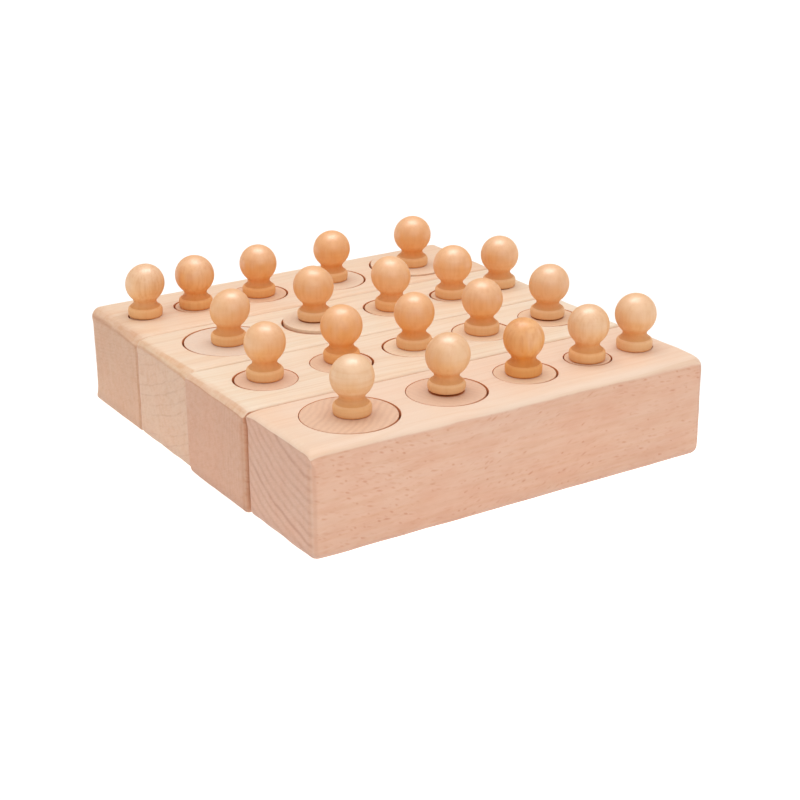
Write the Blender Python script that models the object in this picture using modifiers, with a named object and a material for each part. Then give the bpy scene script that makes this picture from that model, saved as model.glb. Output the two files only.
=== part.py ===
"""Knobbed cylinder blocks: four hardwood blocks that stand side by side.

Every block has a row of five round, flat-bottomed sockets. A loose wooden
cylinder stands in each socket, and a turned knob with a glued tenon is the
cylinder's handle, so that it can be lifted straight out.

Frame: X along the blocks, front block at -Y, +Z up, origin under the middle of
the set on the surface that it stands on. Dimensions below are in millimetres.
"""
import bpy
import bmesh
import math

MM = 0.001

# ---- driving dimensions (mm) -------------------------------------------------
BLOCK_LENGTH = 150.0
SET_WIDTH = 160.0            # four blocks across
BLOCK_HEIGHT = 35.0
BLOCK_COUNT = 4
BLOCK_GAP = 0.3              # daylight between neighbouring blocks
BLOCK_WIDTH = (SET_WIDTH - BLOCK_GAP * (BLOCK_COUNT - 1)) / BLOCK_COUNT
BLOCK_ROUND = 2.2            # hand-sanded edges
BLOCK_SHIFT = (0.15, -0.75, 0.35, 0.75)   # the blocks are pushed together by hand

SOCKET_LARGEST = 31.2        # graded rows step down by a constant amount
SOCKET_STEP = 5.0
SOCKET_EVEN = 21.2           # the row with one diameter
SOCKET_LAND = 6.75           # wood between two sockets of a graded row
ROW_MARGIN = 9.6             # from the block's end to the largest socket
EVEN_PITCH = 28.1            # socket spacing of the even row

CLEARANCE = 0.45             # radial play of a cylinder in its socket
LEAN = 0.14                  # how far a loose cylinder stands off the socket's centre
FLOOR_GAP = 0.3              # under a seated cylinder
CYL_EDGE = 0.6               # broken edge of a cylinder
TALLEST = 28.0               # cylinder heights of the stepped rows
HEIGHT_STEP = 5.0
EVEN_HEIGHT = 25.0           # cylinder height of the row with one height

FOOT_R = 6.05                # knob: foot, its slanted rim, waist and ball
FOOT_H = 2.55
CREASE_R = 5.3               # where the neck's cove meets the foot's slanted rim
CREASE_Z = 3.25
NECK_R = 4.0
NECK_Z = 4.95
BALL_R = 6.85
BALL_LOW = 7.0               # the ball's lower half is a little longer than round
BALL_Z = 11.5
SEAT_GAP = 0.3               # glue line under the knob's foot
TENON_R = 2.5
TENON_LENGTH = 5.0
BORE_PLAY = 0.3

SOCKET_SEGMENTS = 24
KNOB_SEGMENTS = 12
BORE_SEGMENTS = 10

GRADED, EVEN, REVERSED = "graded", "even", "reversed"
# Each row: how the diameters run from left to right, how the heights run, and
# the row's offset from the block's centre line.
ROWS = (
    (GRADED, "level", (0.0, 0.0)),
    (EVEN, "falling", (0.8, 0.8)),
    (GRADED, "falling", (0.4, 0.0)),
    (REVERSED, "falling", (-0.2, 0.5)),
)
# Hand-drilled knob holes sit off the cylinders' centres, set in half millimetres.
KNOB_SHIFT = (
    ((1.5, 0.5), (0.5, 0.5), (-0.5, 0.0), (-1.0, -1.0), (-1.0, -0.5)),
    ((0.5, 1.5), (1.5, 2.0), (0.5, 0.5), (0.0, 0.0), (0.5, 0.5)),
    ((-0.5, -1.0), (-1.0, 1.5), (-0.5, 0.0), (-0.5, -0.5), (1.0, 0.0)),
    ((0.5, 0.0), (-0.5, -0.5), (0.0, -0.5), (1.0, 0.5), (0.0, -1.5)),
)
# Direction in degrees in which each loose cylinder leans in its socket.
LEAN_DIRECTION = (
    (135, 140, 150, 60, 200),
    (320, 160, 310, 200, 120),
    (300, 315, 310, 320, 90),
    (45, 320, 150, 160, 290),
)
# Cylinders that stand proud of the block: (block, place) to height.
PROUD = {(2, 1): 1.2, (3, 4): 0.6}


# ---- helpers -----------------------------------------------------------------
for old in list(bpy.data.objects):
    bpy.data.objects.remove(old, do_unlink=True)


def collection(name):
    col = bpy.data.collections.new(name)
    bpy.context.scene.collection.children.link(col)
    return col


PARTS = collection("knobbed_cylinder_block")
CUTTERS = collection("cutters")


def material(name, colour, roughness):
    mat = bpy.data.materials.new(name)
    mat.use_nodes = True
    bsdf = mat.node_tree.nodes["Principled BSDF"]
    bsdf.inputs["Base Color"].default_value = (*colour, 1.0)
    bsdf.inputs["Roughness"].default_value = roughness
    bsdf.inputs["Metallic"].default_value = 0.0
    return mat


def add_object(name, mesh, col, location, mat=None, parent=None):
    """Places a mesh with its origin at a world location given in mm."""
    obj = bpy.data.objects.new(name, mesh)
    col.objects.link(obj)
    world = [c * MM for c in location]
    if parent is not None:
        obj.parent = parent
        base = parent.get("world_mm", (0.0, 0.0, 0.0))
        world = [(c - b) * MM for c, b in zip(location, base)]
    obj.location = world
    obj["world_mm"] = tuple(location)
    if mat is not None:
        mesh.materials.append(mat)
    return obj


def box_mesh(name, sx, sy, sz):
    """A box that stands on its own origin, sides in mm."""
    bm = bmesh.new()
    bmesh.ops.create_cube(bm, size=1.0)
    bmesh.ops.scale(bm, vec=(sx * MM, sy * MM, sz * MM), verts=bm.verts)
    bmesh.ops.translate(bm, vec=(0.0, 0.0, sz * MM / 2), verts=bm.verts)
    mesh = bpy.data.meshes.new(name)
    bm.to_mesh(mesh)
    bm.free()
    return mesh


def drum_mesh(name, radius, height, segments):
    """A round drum that stands on its own origin, in mm."""
    bm = bmesh.new()
    bmesh.ops.create_cone(bm, cap_ends=True, cap_tris=False, segments=segments,
                          radius1=radius * MM, radius2=radius * MM, depth=height * MM)
    bmesh.ops.translate(bm, vec=(0.0, 0.0, height * MM / 2), verts=bm.verts)
    mesh = bpy.data.meshes.new(name)
    bm.to_mesh(mesh)
    bm.free()
    return mesh


def cutter(name, mesh, location):
    obj = add_object(name, mesh, CUTTERS, location)
    obj.hide_render = True
    obj.display_type = "WIRE"
    return obj


def cut(obj, tool):
    mod = obj.modifiers.new("cut_" + tool.name, "BOOLEAN")
    mod.operation = "DIFFERENCE"
    mod.solver = "EXACT"
    mod.object = tool


def round_edges(obj, width, segments):
    mod = obj.modifiers.new("rounded_edges", "BEVEL")
    mod.width = width * MM
    mod.segments = segments
    mod.limit_method = "ANGLE"
    mod.angle_limit = math.radians(50)


def smooth(mesh, degrees):
    mesh.shade_smooth()
    mesh.set_sharp_from_angle(angle=math.radians(degrees))


def arc(cx, cz, r, a0, a1, steps):
    """Points of a circular arc in the profile plane, angles in degrees."""
    pts = []
    for i in range(steps + 1):
        a = math.radians(a0 + (a1 - a0) * i / steps)
        pts.append((cx + r * math.cos(a), cz + r * math.sin(a)))
    return pts


# ---- the knob's turned profile -------------------------------------------------
def knob_profile():
    """(radius, height) from the ball's crown down the outside to the tenon's end."""
    pts = [(0.0, BALL_Z + BALL_R)]
    for r, up in arc(0.0, 0.0, 1.0, 66.0, -40.0, 5):
        pts.append((BALL_R * r, BALL_Z + (BALL_R if up > 0.0 else BALL_LOW) * up))
    blend_r, blend_z = pts[-1]
    span = blend_z - NECK_Z
    rise = blend_r - NECK_R
    pts.append((NECK_R + 0.30 * rise, NECK_Z + 0.45 * span))
    pts.append((NECK_R, NECK_Z))
    pts.append((NECK_R + 0.30 * (CREASE_R - NECK_R), NECK_Z - 0.52 * (NECK_Z - CREASE_Z)))
    pts.append((CREASE_R, CREASE_Z))
    pts.append((CREASE_R + 0.60 * (FOOT_R - CREASE_R), FOOT_H + 0.62 * (CREASE_Z - FOOT_H)))
    pts.append((FOOT_R, FOOT_H))
    pts.append((FOOT_R, 0.35))
    pts.append((FOOT_R - 0.35, 0.0))
    pts.append((TENON_R, 0.0))
    pts.append((TENON_R, -TENON_LENGTH))
    pts.append((0.0, -TENON_LENGTH))
    return pts


def turned_mesh(name, profile):
    """An open profile at +X, to be swept round Z by a Screw modifier."""
    bm = bmesh.new()
    verts = [bm.verts.new((r * MM, 0.0, z * MM)) for r, z in profile]
    for a, b in zip(verts, verts[1:]):
        bm.edges.new((a, b))
    mesh = bpy.data.meshes.new(name)
    bm.to_mesh(mesh)
    bm.free()
    return mesh


def turn(obj, steps):
    mod = obj.modifiers.new("turned", "SCREW")
    mod.axis = "Z"
    mod.angle = math.tau
    mod.screw_offset = 0.0
    mod.steps = steps
    mod.render_steps = steps
    mod.use_merge_vertices = True
    mod.merge_threshold = 0.00001
    mod.use_smooth_shade = True
    mod.use_normal_calculate = False


# ---- rows ----------------------------------------------------------------------
def row_diameters(kind):
    graded = [SOCKET_LARGEST - SOCKET_STEP * i for i in range(5)]
    if kind == GRADED:
        return graded
    if kind == REVERSED:
        return graded[::-1]
    return [SOCKET_EVEN] * 5


def row_places(kind):
    """Socket centres along the block, left to right, from the block's middle."""
    if kind == EVEN:
        return [EVEN_PITCH * (i - 2) for i in range(5)]
    places = []
    x = -BLOCK_LENGTH / 2 + ROW_MARGIN
    for d in row_diameters(GRADED):
        places.append(x + d / 2)
        x += d + SOCKET_LAND
    if kind == REVERSED:
        return [-p for p in places[::-1]]
    return places


def row_heights(run):
    if run == "level":
        return [EVEN_HEIGHT] * 5
    return [TALLEST - HEIGHT_STEP * i for i in range(5)]


# ---- build ---------------------------------------------------------------------
BLOCK_COLOURS = ((0.76, 0.55, 0.40), (0.80, 0.60, 0.44), (0.80, 0.61, 0.44), (0.76, 0.56, 0.42))
CYL_COLOUR = (0.72, 0.52, 0.41)
KNOB_COLOUR = (0.72, 0.36, 0.12)

root = bpy.data.objects.new("set_origin", None)
PARTS.objects.link(root)

KNOB_PROFILE = knob_profile()

for b in range(BLOCK_COUNT):
    kind, run, row_shift = ROWS[b]
    bx = BLOCK_SHIFT[b]
    by = -SET_WIDTH / 2 + BLOCK_WIDTH / 2 + b * (BLOCK_WIDTH + BLOCK_GAP)
    tag = str(b + 1)

    mesh = box_mesh("block_" + tag, BLOCK_LENGTH, BLOCK_WIDTH, BLOCK_HEIGHT)
    block = add_object("block_" + tag, mesh, PARTS, (bx, by, 0.0),
                       material("block_wood_" + tag, BLOCK_COLOURS[b], 0.55), root)
    round_edges(block, BLOCK_ROUND, 2)

    diameters = row_diameters(kind)
    heights = row_heights(run)
    for i, px in enumerate(row_places(kind)):
        name = tag + "_" + str(i + 1)
        sx, sy = bx + px + row_shift[0], by + row_shift[1]
        height = heights[i]
        proud = PROUD.get((b, i), 0.0)
        top = BLOCK_HEIGHT + proud
        floor = top - height - FLOOR_GAP

        hole = drum_mesh("socket_" + name, diameters[i] / 2, BLOCK_HEIGHT + 4.0 - floor, SOCKET_SEGMENTS)
        cut(block, cutter("socket_" + name, hole, (sx, sy, floor)))

        lean = math.radians(LEAN_DIRECTION[b][i])
        cx, cy = sx + LEAN * math.cos(lean), sy + LEAN * math.sin(lean)
        mesh = drum_mesh("cylinder_" + name, diameters[i] / 2 - CLEARANCE, height, SOCKET_SEGMENTS)
        cyl = add_object("cylinder_" + name, mesh, PARTS, (cx, cy, top - height),
                         material("cylinder_wood_" + name, CYL_COLOUR, 0.55), block)
        smooth(mesh, 40)
        round_edges(cyl, CYL_EDGE, 1)

        kx, ky = cx + KNOB_SHIFT[b][i][0], cy + KNOB_SHIFT[b][i][1]
        depth = TENON_LENGTH - SEAT_GAP + BORE_PLAY
        bore = drum_mesh("bore_" + name, TENON_R + BORE_PLAY, depth + 4.0, BORE_SEGMENTS)
        cut(cyl, cutter("bore_" + name, bore, (kx, ky, top - depth)))

        knob = add_object("knob_" + name, turned_mesh("knob_" + name, KNOB_PROFILE), PARTS,
                          (kx, ky, top + SEAT_GAP), material("knob_wood_" + name, KNOB_COLOUR, 0.3), cyl)
        turn(knob, KNOB_SEGMENTS)

    smooth(block.data, 40)
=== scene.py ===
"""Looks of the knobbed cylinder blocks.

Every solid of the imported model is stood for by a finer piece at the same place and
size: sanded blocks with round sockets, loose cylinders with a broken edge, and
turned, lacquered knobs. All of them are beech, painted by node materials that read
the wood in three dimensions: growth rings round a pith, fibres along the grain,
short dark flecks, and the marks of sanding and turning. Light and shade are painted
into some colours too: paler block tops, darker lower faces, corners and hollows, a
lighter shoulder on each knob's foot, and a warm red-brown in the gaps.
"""

import math

import bmesh
import bpy
from mathutils import Matrix, Vector, noise as value_noise


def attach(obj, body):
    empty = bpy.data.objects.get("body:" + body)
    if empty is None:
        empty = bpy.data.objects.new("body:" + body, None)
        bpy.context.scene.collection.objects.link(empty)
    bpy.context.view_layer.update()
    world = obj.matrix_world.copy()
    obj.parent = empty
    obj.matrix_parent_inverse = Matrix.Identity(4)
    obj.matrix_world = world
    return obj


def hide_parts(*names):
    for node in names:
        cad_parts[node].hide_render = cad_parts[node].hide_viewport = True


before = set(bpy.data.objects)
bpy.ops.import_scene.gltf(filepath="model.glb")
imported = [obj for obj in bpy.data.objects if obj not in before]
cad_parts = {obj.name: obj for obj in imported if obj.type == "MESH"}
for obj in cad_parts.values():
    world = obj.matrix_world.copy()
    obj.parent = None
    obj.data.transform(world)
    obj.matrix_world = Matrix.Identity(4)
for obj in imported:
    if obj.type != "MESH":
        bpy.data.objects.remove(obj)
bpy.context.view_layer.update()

MM = 0.001

# ---- sizes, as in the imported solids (mm) -----------------------------------------
BLOCK_LENGTH = 150.0
SET_WIDTH = 160.0
BLOCK_HEIGHT = 35.0
BLOCK_COUNT = 4
BLOCK_GAP = 0.3
BLOCK_WIDTH = (SET_WIDTH - BLOCK_GAP * (BLOCK_COUNT - 1)) / BLOCK_COUNT
BLOCK_SHIFT = (0.15, -0.75, 0.35, 0.75)

SOCKET_LARGEST = 31.2
SOCKET_STEP = 5.0
SOCKET_EVEN = 21.2
SOCKET_LAND = 6.75
ROW_MARGIN = 9.6
EVEN_PITCH = 28.1

CLEARANCE = 0.45
LEAN = 0.14
FLOOR_GAP = 0.3
TALLEST = 28.0
HEIGHT_STEP = 5.0
EVEN_HEIGHT = 25.0

FOOT_R = 6.05
FOOT_H = 2.55
CREASE_R = 5.3
CREASE_Z = 3.25
NECK_R = 4.0
NECK_Z = 4.95
BALL_R = 6.85
BALL_LOW = 7.0
BALL_Z = 11.5
SEAT_GAP = 0.3
TENON_R = 2.5
TENON_LENGTH = 5.0
BORE_PLAY = 0.3

GRADED, EVEN, REVERSED = "graded", "even", "reversed"
ROWS = (
    (GRADED, "level", (0.0, 0.0)),
    (EVEN, "falling", (0.8, 0.8)),
    (GRADED, "falling", (0.4, 0.0)),
    (REVERSED, "falling", (-0.2, 0.5)),
)
KNOB_SHIFT = (
    ((1.5, 0.5), (0.5, 0.5), (-0.5, 0.0), (-1.0, -1.0), (-1.0, -0.5)),
    ((0.5, 1.5), (1.5, 2.0), (0.5, 0.5), (0.0, 0.0), (0.5, 0.5)),
    ((-0.5, -1.0), (-1.0, 1.5), (-0.5, 0.0), (-0.5, -0.5), (1.0, 0.0)),
    ((0.5, 0.0), (-0.5, -0.5), (0.0, -0.5), (1.0, 0.5), (0.0, -1.5)),
)
LEAN_DIRECTION = (
    (135, 140, 150, 60, 200),
    (320, 160, 310, 200, 120),
    (300, 315, 310, 320, 90),
    (45, 320, 150, 160, 290),
)
PROUD = {(2, 1): 1.2, (3, 4): 0.6}

# ---- how the wood was worked by hand (mm) ------------------------------------------
# Radii of each block's edges: top and bottom of the left and right ends, of the front
# and the back, and the upright edges. One front edge is rounder towards its right end.
EDGES = (
    {"left": (0.45, 3.0), "right": (3.6, 3.3), "front": (0.9, 2.3), "back": (1.4, 2.0),
     "left_front": 2.5, "left_back": 2.2, "right_front": 2.4, "right_back": 1.6, "front_by_right": 2.6},
    {"left": (0.5, 2.6), "right": (3.5, 3.0), "front": (1.5, 2.0), "back": (1.5, 2.0),
     "left_front": 2.2, "left_back": 1.0, "right_front": 1.6, "right_back": 1.6},
    {"left": (1.4, 3.0), "right": (3.5, 3.0), "front": (1.4, 2.0), "back": (1.5, 2.0),
     "left_front": 1.2, "left_back": 2.2, "right_front": 1.6, "right_back": 1.6},
    {"left": (3.6, 1.9), "right": (3.5, 3.0), "front": (1.6, 2.0), "back": (1.5, 2.0),
     "left_front": 1.2, "left_back": 4.2, "right_front": 1.6, "right_back": 1.6},
)
# Where the top falls away towards an edge: width at the edge's two ends, how far it
# falls there, and how suddenly. Left ends run from back to front. A corner falls away
# within a distance.
CROWNS = (
    {"left": (2.4, 2.8, 0.9, 1.2, 2.0), "front": (4.2, 5.0, 1.6, 2.1, 2.0), "back": (2.6, 2.6, 0.35, 0.35, 2.0),
     "left_front": (4.0, 0.40, 2.0), "left_back": (6.0, 1.0, 1.6)},
    {"left": (1.8, 2.4, 1.3, 1.8, 1.3), "left_front": (8.0, 0.7, 1.5), "left_back": (4.0, 0.5, 1.5)},
    {"left": (1.5, 3.2, 1.2, 2.2, 1.2), "left_front": (6.0, 0.9, 1.5), "left_back": (6.0, 1.3, 1.5)},
    {"left": (4.5, 6.5, 0.35, 0.8, 1.8), "left_front": (8.0, 1.0, 1.5), "left_back": (4.0, 0.2, 1.5)},
)
# Each knob's ball is turned by eye: its size, and how far it leans to the side.
BALL_SIZE = (
    (1.00, 1.035, 0.970, 0.995, 1.01),
    (0.985, 1.015, 0.995, 1.025, 1.03),
    (0.99, 1.03, 1.025, 1.025, 1.015),
    (1.005, 1.02, 0.985, 1.00, 1.03),
)
BALL_LEAN = (
    (0.10, 0.35, -0.10, 0.15, 0.05),
    (0.25, 0.10, 0.05, 0.05, 0.35),
    (0.80, -0.20, -0.35, 0.30, 0.00),
    (0.40, 0.00, 0.00, 0.20, 0.15),
)
LEAN_TO = (0.843, -0.538)
# Knobs whose foot stands off the cylinder, by how much.
OPEN_SEAT = {(0, 1): 0.60, (1, 4): 0.35, (2, 1): 0.35}

# ---- wood, linear colours -----------------------------------------------------------
BLOCK_LOOKS = (
    # pith: where the rings' centre lies from the block's middle, Y and Z in mm.
    # ring: spacing, thickness of the dark late wood, how much of it shows on the ends
    # top, side, end: the faces' colours; the top's is paler than the sides', painted light from above
    {"pith": (-34.5, 75.6), "ring": (3.5, 1.25), "end_ring": 1.0, "long_ring": 0.14, "drift": 2.0,
     "top": (0.850, 0.653, 0.508), "side": (0.765, 0.483, 0.347), "end": (0.675, 0.417, 0.304)},
    {"pith": (-170.0, 0.0), "ring": (1.7, 0.7), "end_ring": 0.30, "long_ring": 0.28, "drift": 1.0,
     "top": (0.858, 0.716, 0.562), "side": (0.765, 0.508, 0.363), "end": (0.650, 0.378, 0.256)},
    {"pith": (35.0, 104.0), "ring": (3.5, 0.5), "end_ring": 0.60, "long_ring": 0.28, "drift": 1.5,
     "top": (0.855, 0.710, 0.552), "side": (0.765, 0.523, 0.378), "end": (0.716, 0.484, 0.344)},
    {"pith": (52.0, 295.0), "ring": (1.3, 0.5), "end_ring": 0.30, "long_ring": 0.12, "drift": 1.0,
     "top": (0.845, 0.655, 0.492), "side": (0.765, 0.499, 0.363), "end": (0.659, 0.406, 0.267)},
)
LATE_WOOD = (0.80, 0.69, 0.64)
FLECK = (0.77, 0.46, 0.34)
# painted shade: the warm red-brown that the narrow gaps round the cylinders take
GAP_SHADE = (0.80, 0.33, 0.13)
# painted shade: dark red-brown where a knob's foot stands off its seat, and on the foot's underside
SEAT_SHADE = (0.66, 0.22, 0.07)
CYL_LIGHT = (0.780, 0.514, 0.360)
CYL_DARK = (0.648, 0.392, 0.266)
# Where each cylinder's rings are centred: direction in degrees, distance in mm, and
# how strongly they show.
CYL_GRAIN = (
    ((135, 60, 0.62), (20, 45, 0.22), (80, 40, 0.20), (200, 50, 0.20), (300, 40, 0.20)),
    ((60, 55, 0.25), (170, 50, 0.25), (110, 60, 0.22), (15, 45, 0.22), (240, 50, 0.22)),
    ((100, 70, 0.12), (140, 50, 0.22), (30, 55, 0.22), (70, 45, 0.22), (210, 40, 0.22)),
    ((250, 50, 0.22), (20, 40, 0.22), (160, 55, 0.22), (100, 60, 0.22), (45, 60, 0.22)),
)
CYL_TINT = (
    ((1.00, 1.00, 0.99), (0.99, 1.01, 1.03), (1.06, 1.14, 1.13), (1.05, 1.12, 1.12), (1.05, 1.12, 1.12)),
    ((1.03, 1.05, 1.07), (1.04, 1.10, 1.09), (1.14, 1.36, 1.40), (1.12, 1.25, 1.23), (1.10, 1.19, 1.15)),
    ((1.02, 1.22, 1.39), (1.07, 1.24, 1.30), (1.08, 1.16, 1.10), (1.08, 1.17, 1.14), (1.08, 1.17, 1.14)),
    ((1.05, 1.12, 1.12), (1.05, 1.10, 1.05), (1.02, 1.00, 0.93), (1.04, 1.19, 1.26), (1.05, 1.18, 1.22)),
)
KNOB_HONEY = (0.860, 0.520, 0.268)
KNOB_AMBER = (0.890, 0.375, 0.080)
# How deep each knob's lacquer is, from pale honey to amber, on the ball and on the foot,
# how streaky its wood, and how much the turning marks show.
KNOB_TONE = (
    ((0.05, 0.18, 0.15, 0.9), (0.18, 0.10, 0.40, 0.4), (0.95, 0.72, 0.90, 0.3), (0.20, 0.28, 0.60, 0.3),
     (0.22, 0.00, 0.30, 0.3)),
    ((0.52, 0.22, 0.35, 0.4), (0.74, 0.52, 0.30, 0.3), (0.72, 0.16, 0.30, 0.3), (0.55, 0.14, 0.40, 0.3),
     (0.40, 0.00, 0.30, 0.3)),
    ((0.46, 0.32, 0.25, 0.3), (0.60, 0.06, 0.30, 0.3), (0.44, 0.32, 0.30, 0.3), (0.53, 0.12, 0.30, 0.3),
     (0.45, 0.02, 0.30, 0.3)),
    ((0.25, 0.28, 0.90, 0.3), (0.60, 0.50, 0.80, 0.3), (0.70, 0.52, 0.40, 0.3), (0.76, 0.20, 0.30, 0.3),
     (0.76, 0.20, 0.30, 0.3)),
)
KNOB_SHADE = {(0, 2): 0.92, (2, 2): 1.04, (2, 3): 1.03}
KNOB_DULL = {(0, 2): 0.55}
# Knobs with sapwood on one side: towards which direction in degrees, from where, how
# gradually, and its tint.
KNOB_HALF = {
    (0, 1): (147.5, 0.0, 5.0, (0.97, 0.91, 0.83)),
    (0, 2): (-32.5, 0.6, 0.9, (1.05, 1.20, 1.70)),
    (1, 0): (147.5, 2.5, 4.5, (1.00, 1.05, 1.14)),
    (3, 0): (147.5, 2.0, 4.0, (1.00, 1.04, 1.12)),
}


# ---- rows -------------------------------------------------------------------------
def row_diameters(kind):
    graded = [SOCKET_LARGEST - SOCKET_STEP * i for i in range(5)]
    if kind == GRADED:
        return graded
    if kind == REVERSED:
        return graded[::-1]
    return [SOCKET_EVEN] * 5


def row_places(kind):
    if kind == EVEN:
        return [EVEN_PITCH * (i - 2) for i in range(5)]
    places = []
    x = -BLOCK_LENGTH / 2 + ROW_MARGIN
    for d in row_diameters(GRADED):
        places.append(x + d / 2)
        x += d + SOCKET_LAND
    if kind == REVERSED:
        return [-p for p in places[::-1]]
    return places


def row_heights(run):
    if run == "level":
        return [EVEN_HEIGHT] * 5
    return [TALLEST - HEIGHT_STEP * i for i in range(5)]


# ---- meshes -----------------------------------------------------------------------
def new_object(name, mesh):
    obj = bpy.data.objects.new(name, mesh)
    bpy.context.scene.collection.objects.link(obj)
    return obj


def mesh_from(bm, name):
    mesh = bpy.data.meshes.new(name)
    bm.to_mesh(mesh)
    bm.free()
    return mesh


def revolve(bm, profile, segments, cx=0.0, cy=0.0, lean=None):
    """Sweeps (radius, height) points, top to bottom, round the upright axis at cx, cy.

    lean gives how far the axis has wandered at a height.
    """
    rings = []
    for r, z in profile:
        ox, oy = lean(z) if lean else (0.0, 0.0)
        if r < 1e-6:
            rings.append([bm.verts.new(((cx + ox) * MM, (cy + oy) * MM, z * MM))])
            continue
        ring = []
        for k in range(segments):
            a = math.tau * k / segments
            ring.append(bm.verts.new(((cx + ox + r * math.cos(a)) * MM, (cy + oy + r * math.sin(a)) * MM, z * MM)))
        rings.append(ring)
    for up, low in zip(rings, rings[1:]):
        for k in range(segments):
            n = (k + 1) % segments
            if len(up) == 1:
                bm.faces.new((up[0], low[k], low[n]))
            elif len(low) == 1:
                bm.faces.new((up[k], low[0], up[n]))
            else:
                bm.faces.new((up[k], low[k], low[n], up[n]))


def arc(cx, cz, r, a0, a1, steps):
    """Points on a circle in the profile plane, angles in degrees."""
    return [(cx + r * math.cos(math.radians(a0 + (a1 - a0) * i / steps)),
             cz + r * math.sin(math.radians(a0 + (a1 - a0) * i / steps))) for i in range(steps + 1)]


def curve(p0, t0, p1, t1, steps):
    """A smooth cubic between two profile points with given directions, p0 left out."""
    length = math.hypot(p1[0] - p0[0], p1[1] - p0[1])
    points = []
    for i in range(1, steps + 1):
        s = i / steps
        h0, h1 = 2 * s ** 3 - 3 * s ** 2 + 1, s ** 3 - 2 * s ** 2 + s
        h2, h3 = -2 * s ** 3 + 3 * s ** 2, s ** 3 - s ** 2
        points.append(tuple(h0 * p0[c] + h1 * length * t0[c] + h2 * p1[c] + h3 * length * t1[c] for c in (0, 1)))
    return points


def grid_lines(half, inner):
    """Positions from -half to half, crowded towards the ends where the edge is worked."""
    steps = [0.05 * k + 0.035 * k * k for k in range(13)]
    ends = [half - s for s in reversed(steps)]
    flat = ends[0]
    middle = [-flat + 2 * flat * k / inner for k in range(1, inner)]
    return [-e for e in reversed(ends)] + middle + ends


def ease(t):
    t = min(1.0, max(0.0, t))
    return t * t * (3 - 2 * t)


def between(a, b, t):
    return a + (b - a) * t


def sanded_block(bm, cx, cy, edges, crowns, seed):
    """A block finished by hand: rounded edges, and a top that falls away towards some of them."""
    hx, hy, hz = BLOCK_LENGTH / 2, BLOCK_WIDTH / 2, BLOCK_HEIGHT / 2
    lx, ly, lz = grid_lines(hx, 36), grid_lines(hy, 10), grid_lines(hz, 8)
    nx, ny, nz = len(lx) - 1, len(ly) - 1, len(lz) - 1
    made = {}

    def fall(x, y, uneven):
        """How far the top has fallen below its full height."""
        total = 0.0
        for side, far, along in (("left", hx + x, (hy - y) / (2 * hy)), ("front", hy + y, (x + hx) / (2 * hx)),
                                 ("back", hy - y, (x + hx) / (2 * hx))):
            if side in crowns:
                w0, w1, d0, d1, power = crowns[side]
                width = between(w0, w1, along) * uneven
                drop = between(d0, d1, along) * uneven
                if side == "front":
                    drop *= 0.4 + 0.6 * ease((hx - x) / 10.0)
                if far < width:
                    total = math.hypot(total, drop * (1.0 - far / width) ** power)
        for corner, far in (("left_front", math.hypot(hx + x, hy + y)), ("left_back", math.hypot(hx + x, hy - y))):
            width, drop, power = crowns[corner]
            if far < width * uneven:
                total += drop * (1.0 - far / (width * uneven)) ** power
        return total

    def vertex(i, j, k):
        if (i, j, k) in made:
            return made[i, j, k]
        p = (lx[i], ly[j], lz[k])
        wave = value_noise.noise(Vector((p[0] / 14.0 + seed, p[1] / 9.0, p[2] / 9.0)))
        fine = value_noise.noise(Vector((p[0] / 5.0, p[1] / 5.0 + seed, p[2] / 5.0)))
        uneven = 1.0 + 0.16 * wave + 0.06 * fine
        across, deep = ("left" if p[0] < 0 else "right"), ("front" if p[1] < 0 else "back")
        low = 0 if p[2] > 0 else 1
        r_end, r_long = edges[across][low], edges[deep][low]
        if low == 0 and deep == "front":
            r_long = between(r_long, edges.get("front_by_right", r_long), ease((p[0] - 45.0) / 27.0))
        r_up = edges[across + "_" + deep]
        near_z = ease(1.0 - (hz - abs(p[2])) / 6.0)
        near_x = ease(1.0 - (hx - abs(p[0])) / (9.0 if p[0] < 0 else 12.0))
        radii = (between(r_up, r_end, near_z) * uneven, between(r_up, r_long, near_z) * uneven,
                 between(r_long, r_end, near_x) * uneven)
        inner, off = [], []
        for c, h, r in zip(p, (hx, hy, hz), radii):
            kept = min(max(c, -h + r), h - r)
            inner.append(kept)
            off.append((c - kept) / r)
        size = max(1.0, math.sqrt(sum(o * o for o in off)))
        q = [m + r * o / size for m, r, o in zip(inner, radii, off)]
        if q[2] > 0.0:
            q[2] -= fall(q[0], q[1], uneven) * ease((q[2] - (hz - 7.0)) / 7.0)
        made[i, j, k] = bm.verts.new(((cx + q[0]) * MM, (cy + q[1]) * MM, (hz + q[2]) * MM))
        return made[i, j, k]

    for i in range(nx):
        for j in range(ny):
            for k, flip in ((0, True), (nz, False)):
                f = (vertex(i, j, k), vertex(i + 1, j, k), vertex(i + 1, j + 1, k), vertex(i, j + 1, k))
                bm.faces.new(f[::-1] if flip else f)
    for i in range(nx):
        for k in range(nz):
            for j, flip in ((0, False), (ny, True)):
                f = (vertex(i, j, k), vertex(i + 1, j, k), vertex(i + 1, j, k + 1), vertex(i, j, k + 1))
                bm.faces.new(f[::-1] if flip else f)
    for j in range(ny):
        for k in range(nz):
            for i, flip in ((0, True), (nx, False)):
                f = (vertex(i, j, k), vertex(i, j + 1, k), vertex(i, j + 1, k + 1), vertex(i, j, k + 1))
                bm.faces.new(f[::-1] if flip else f)


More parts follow.
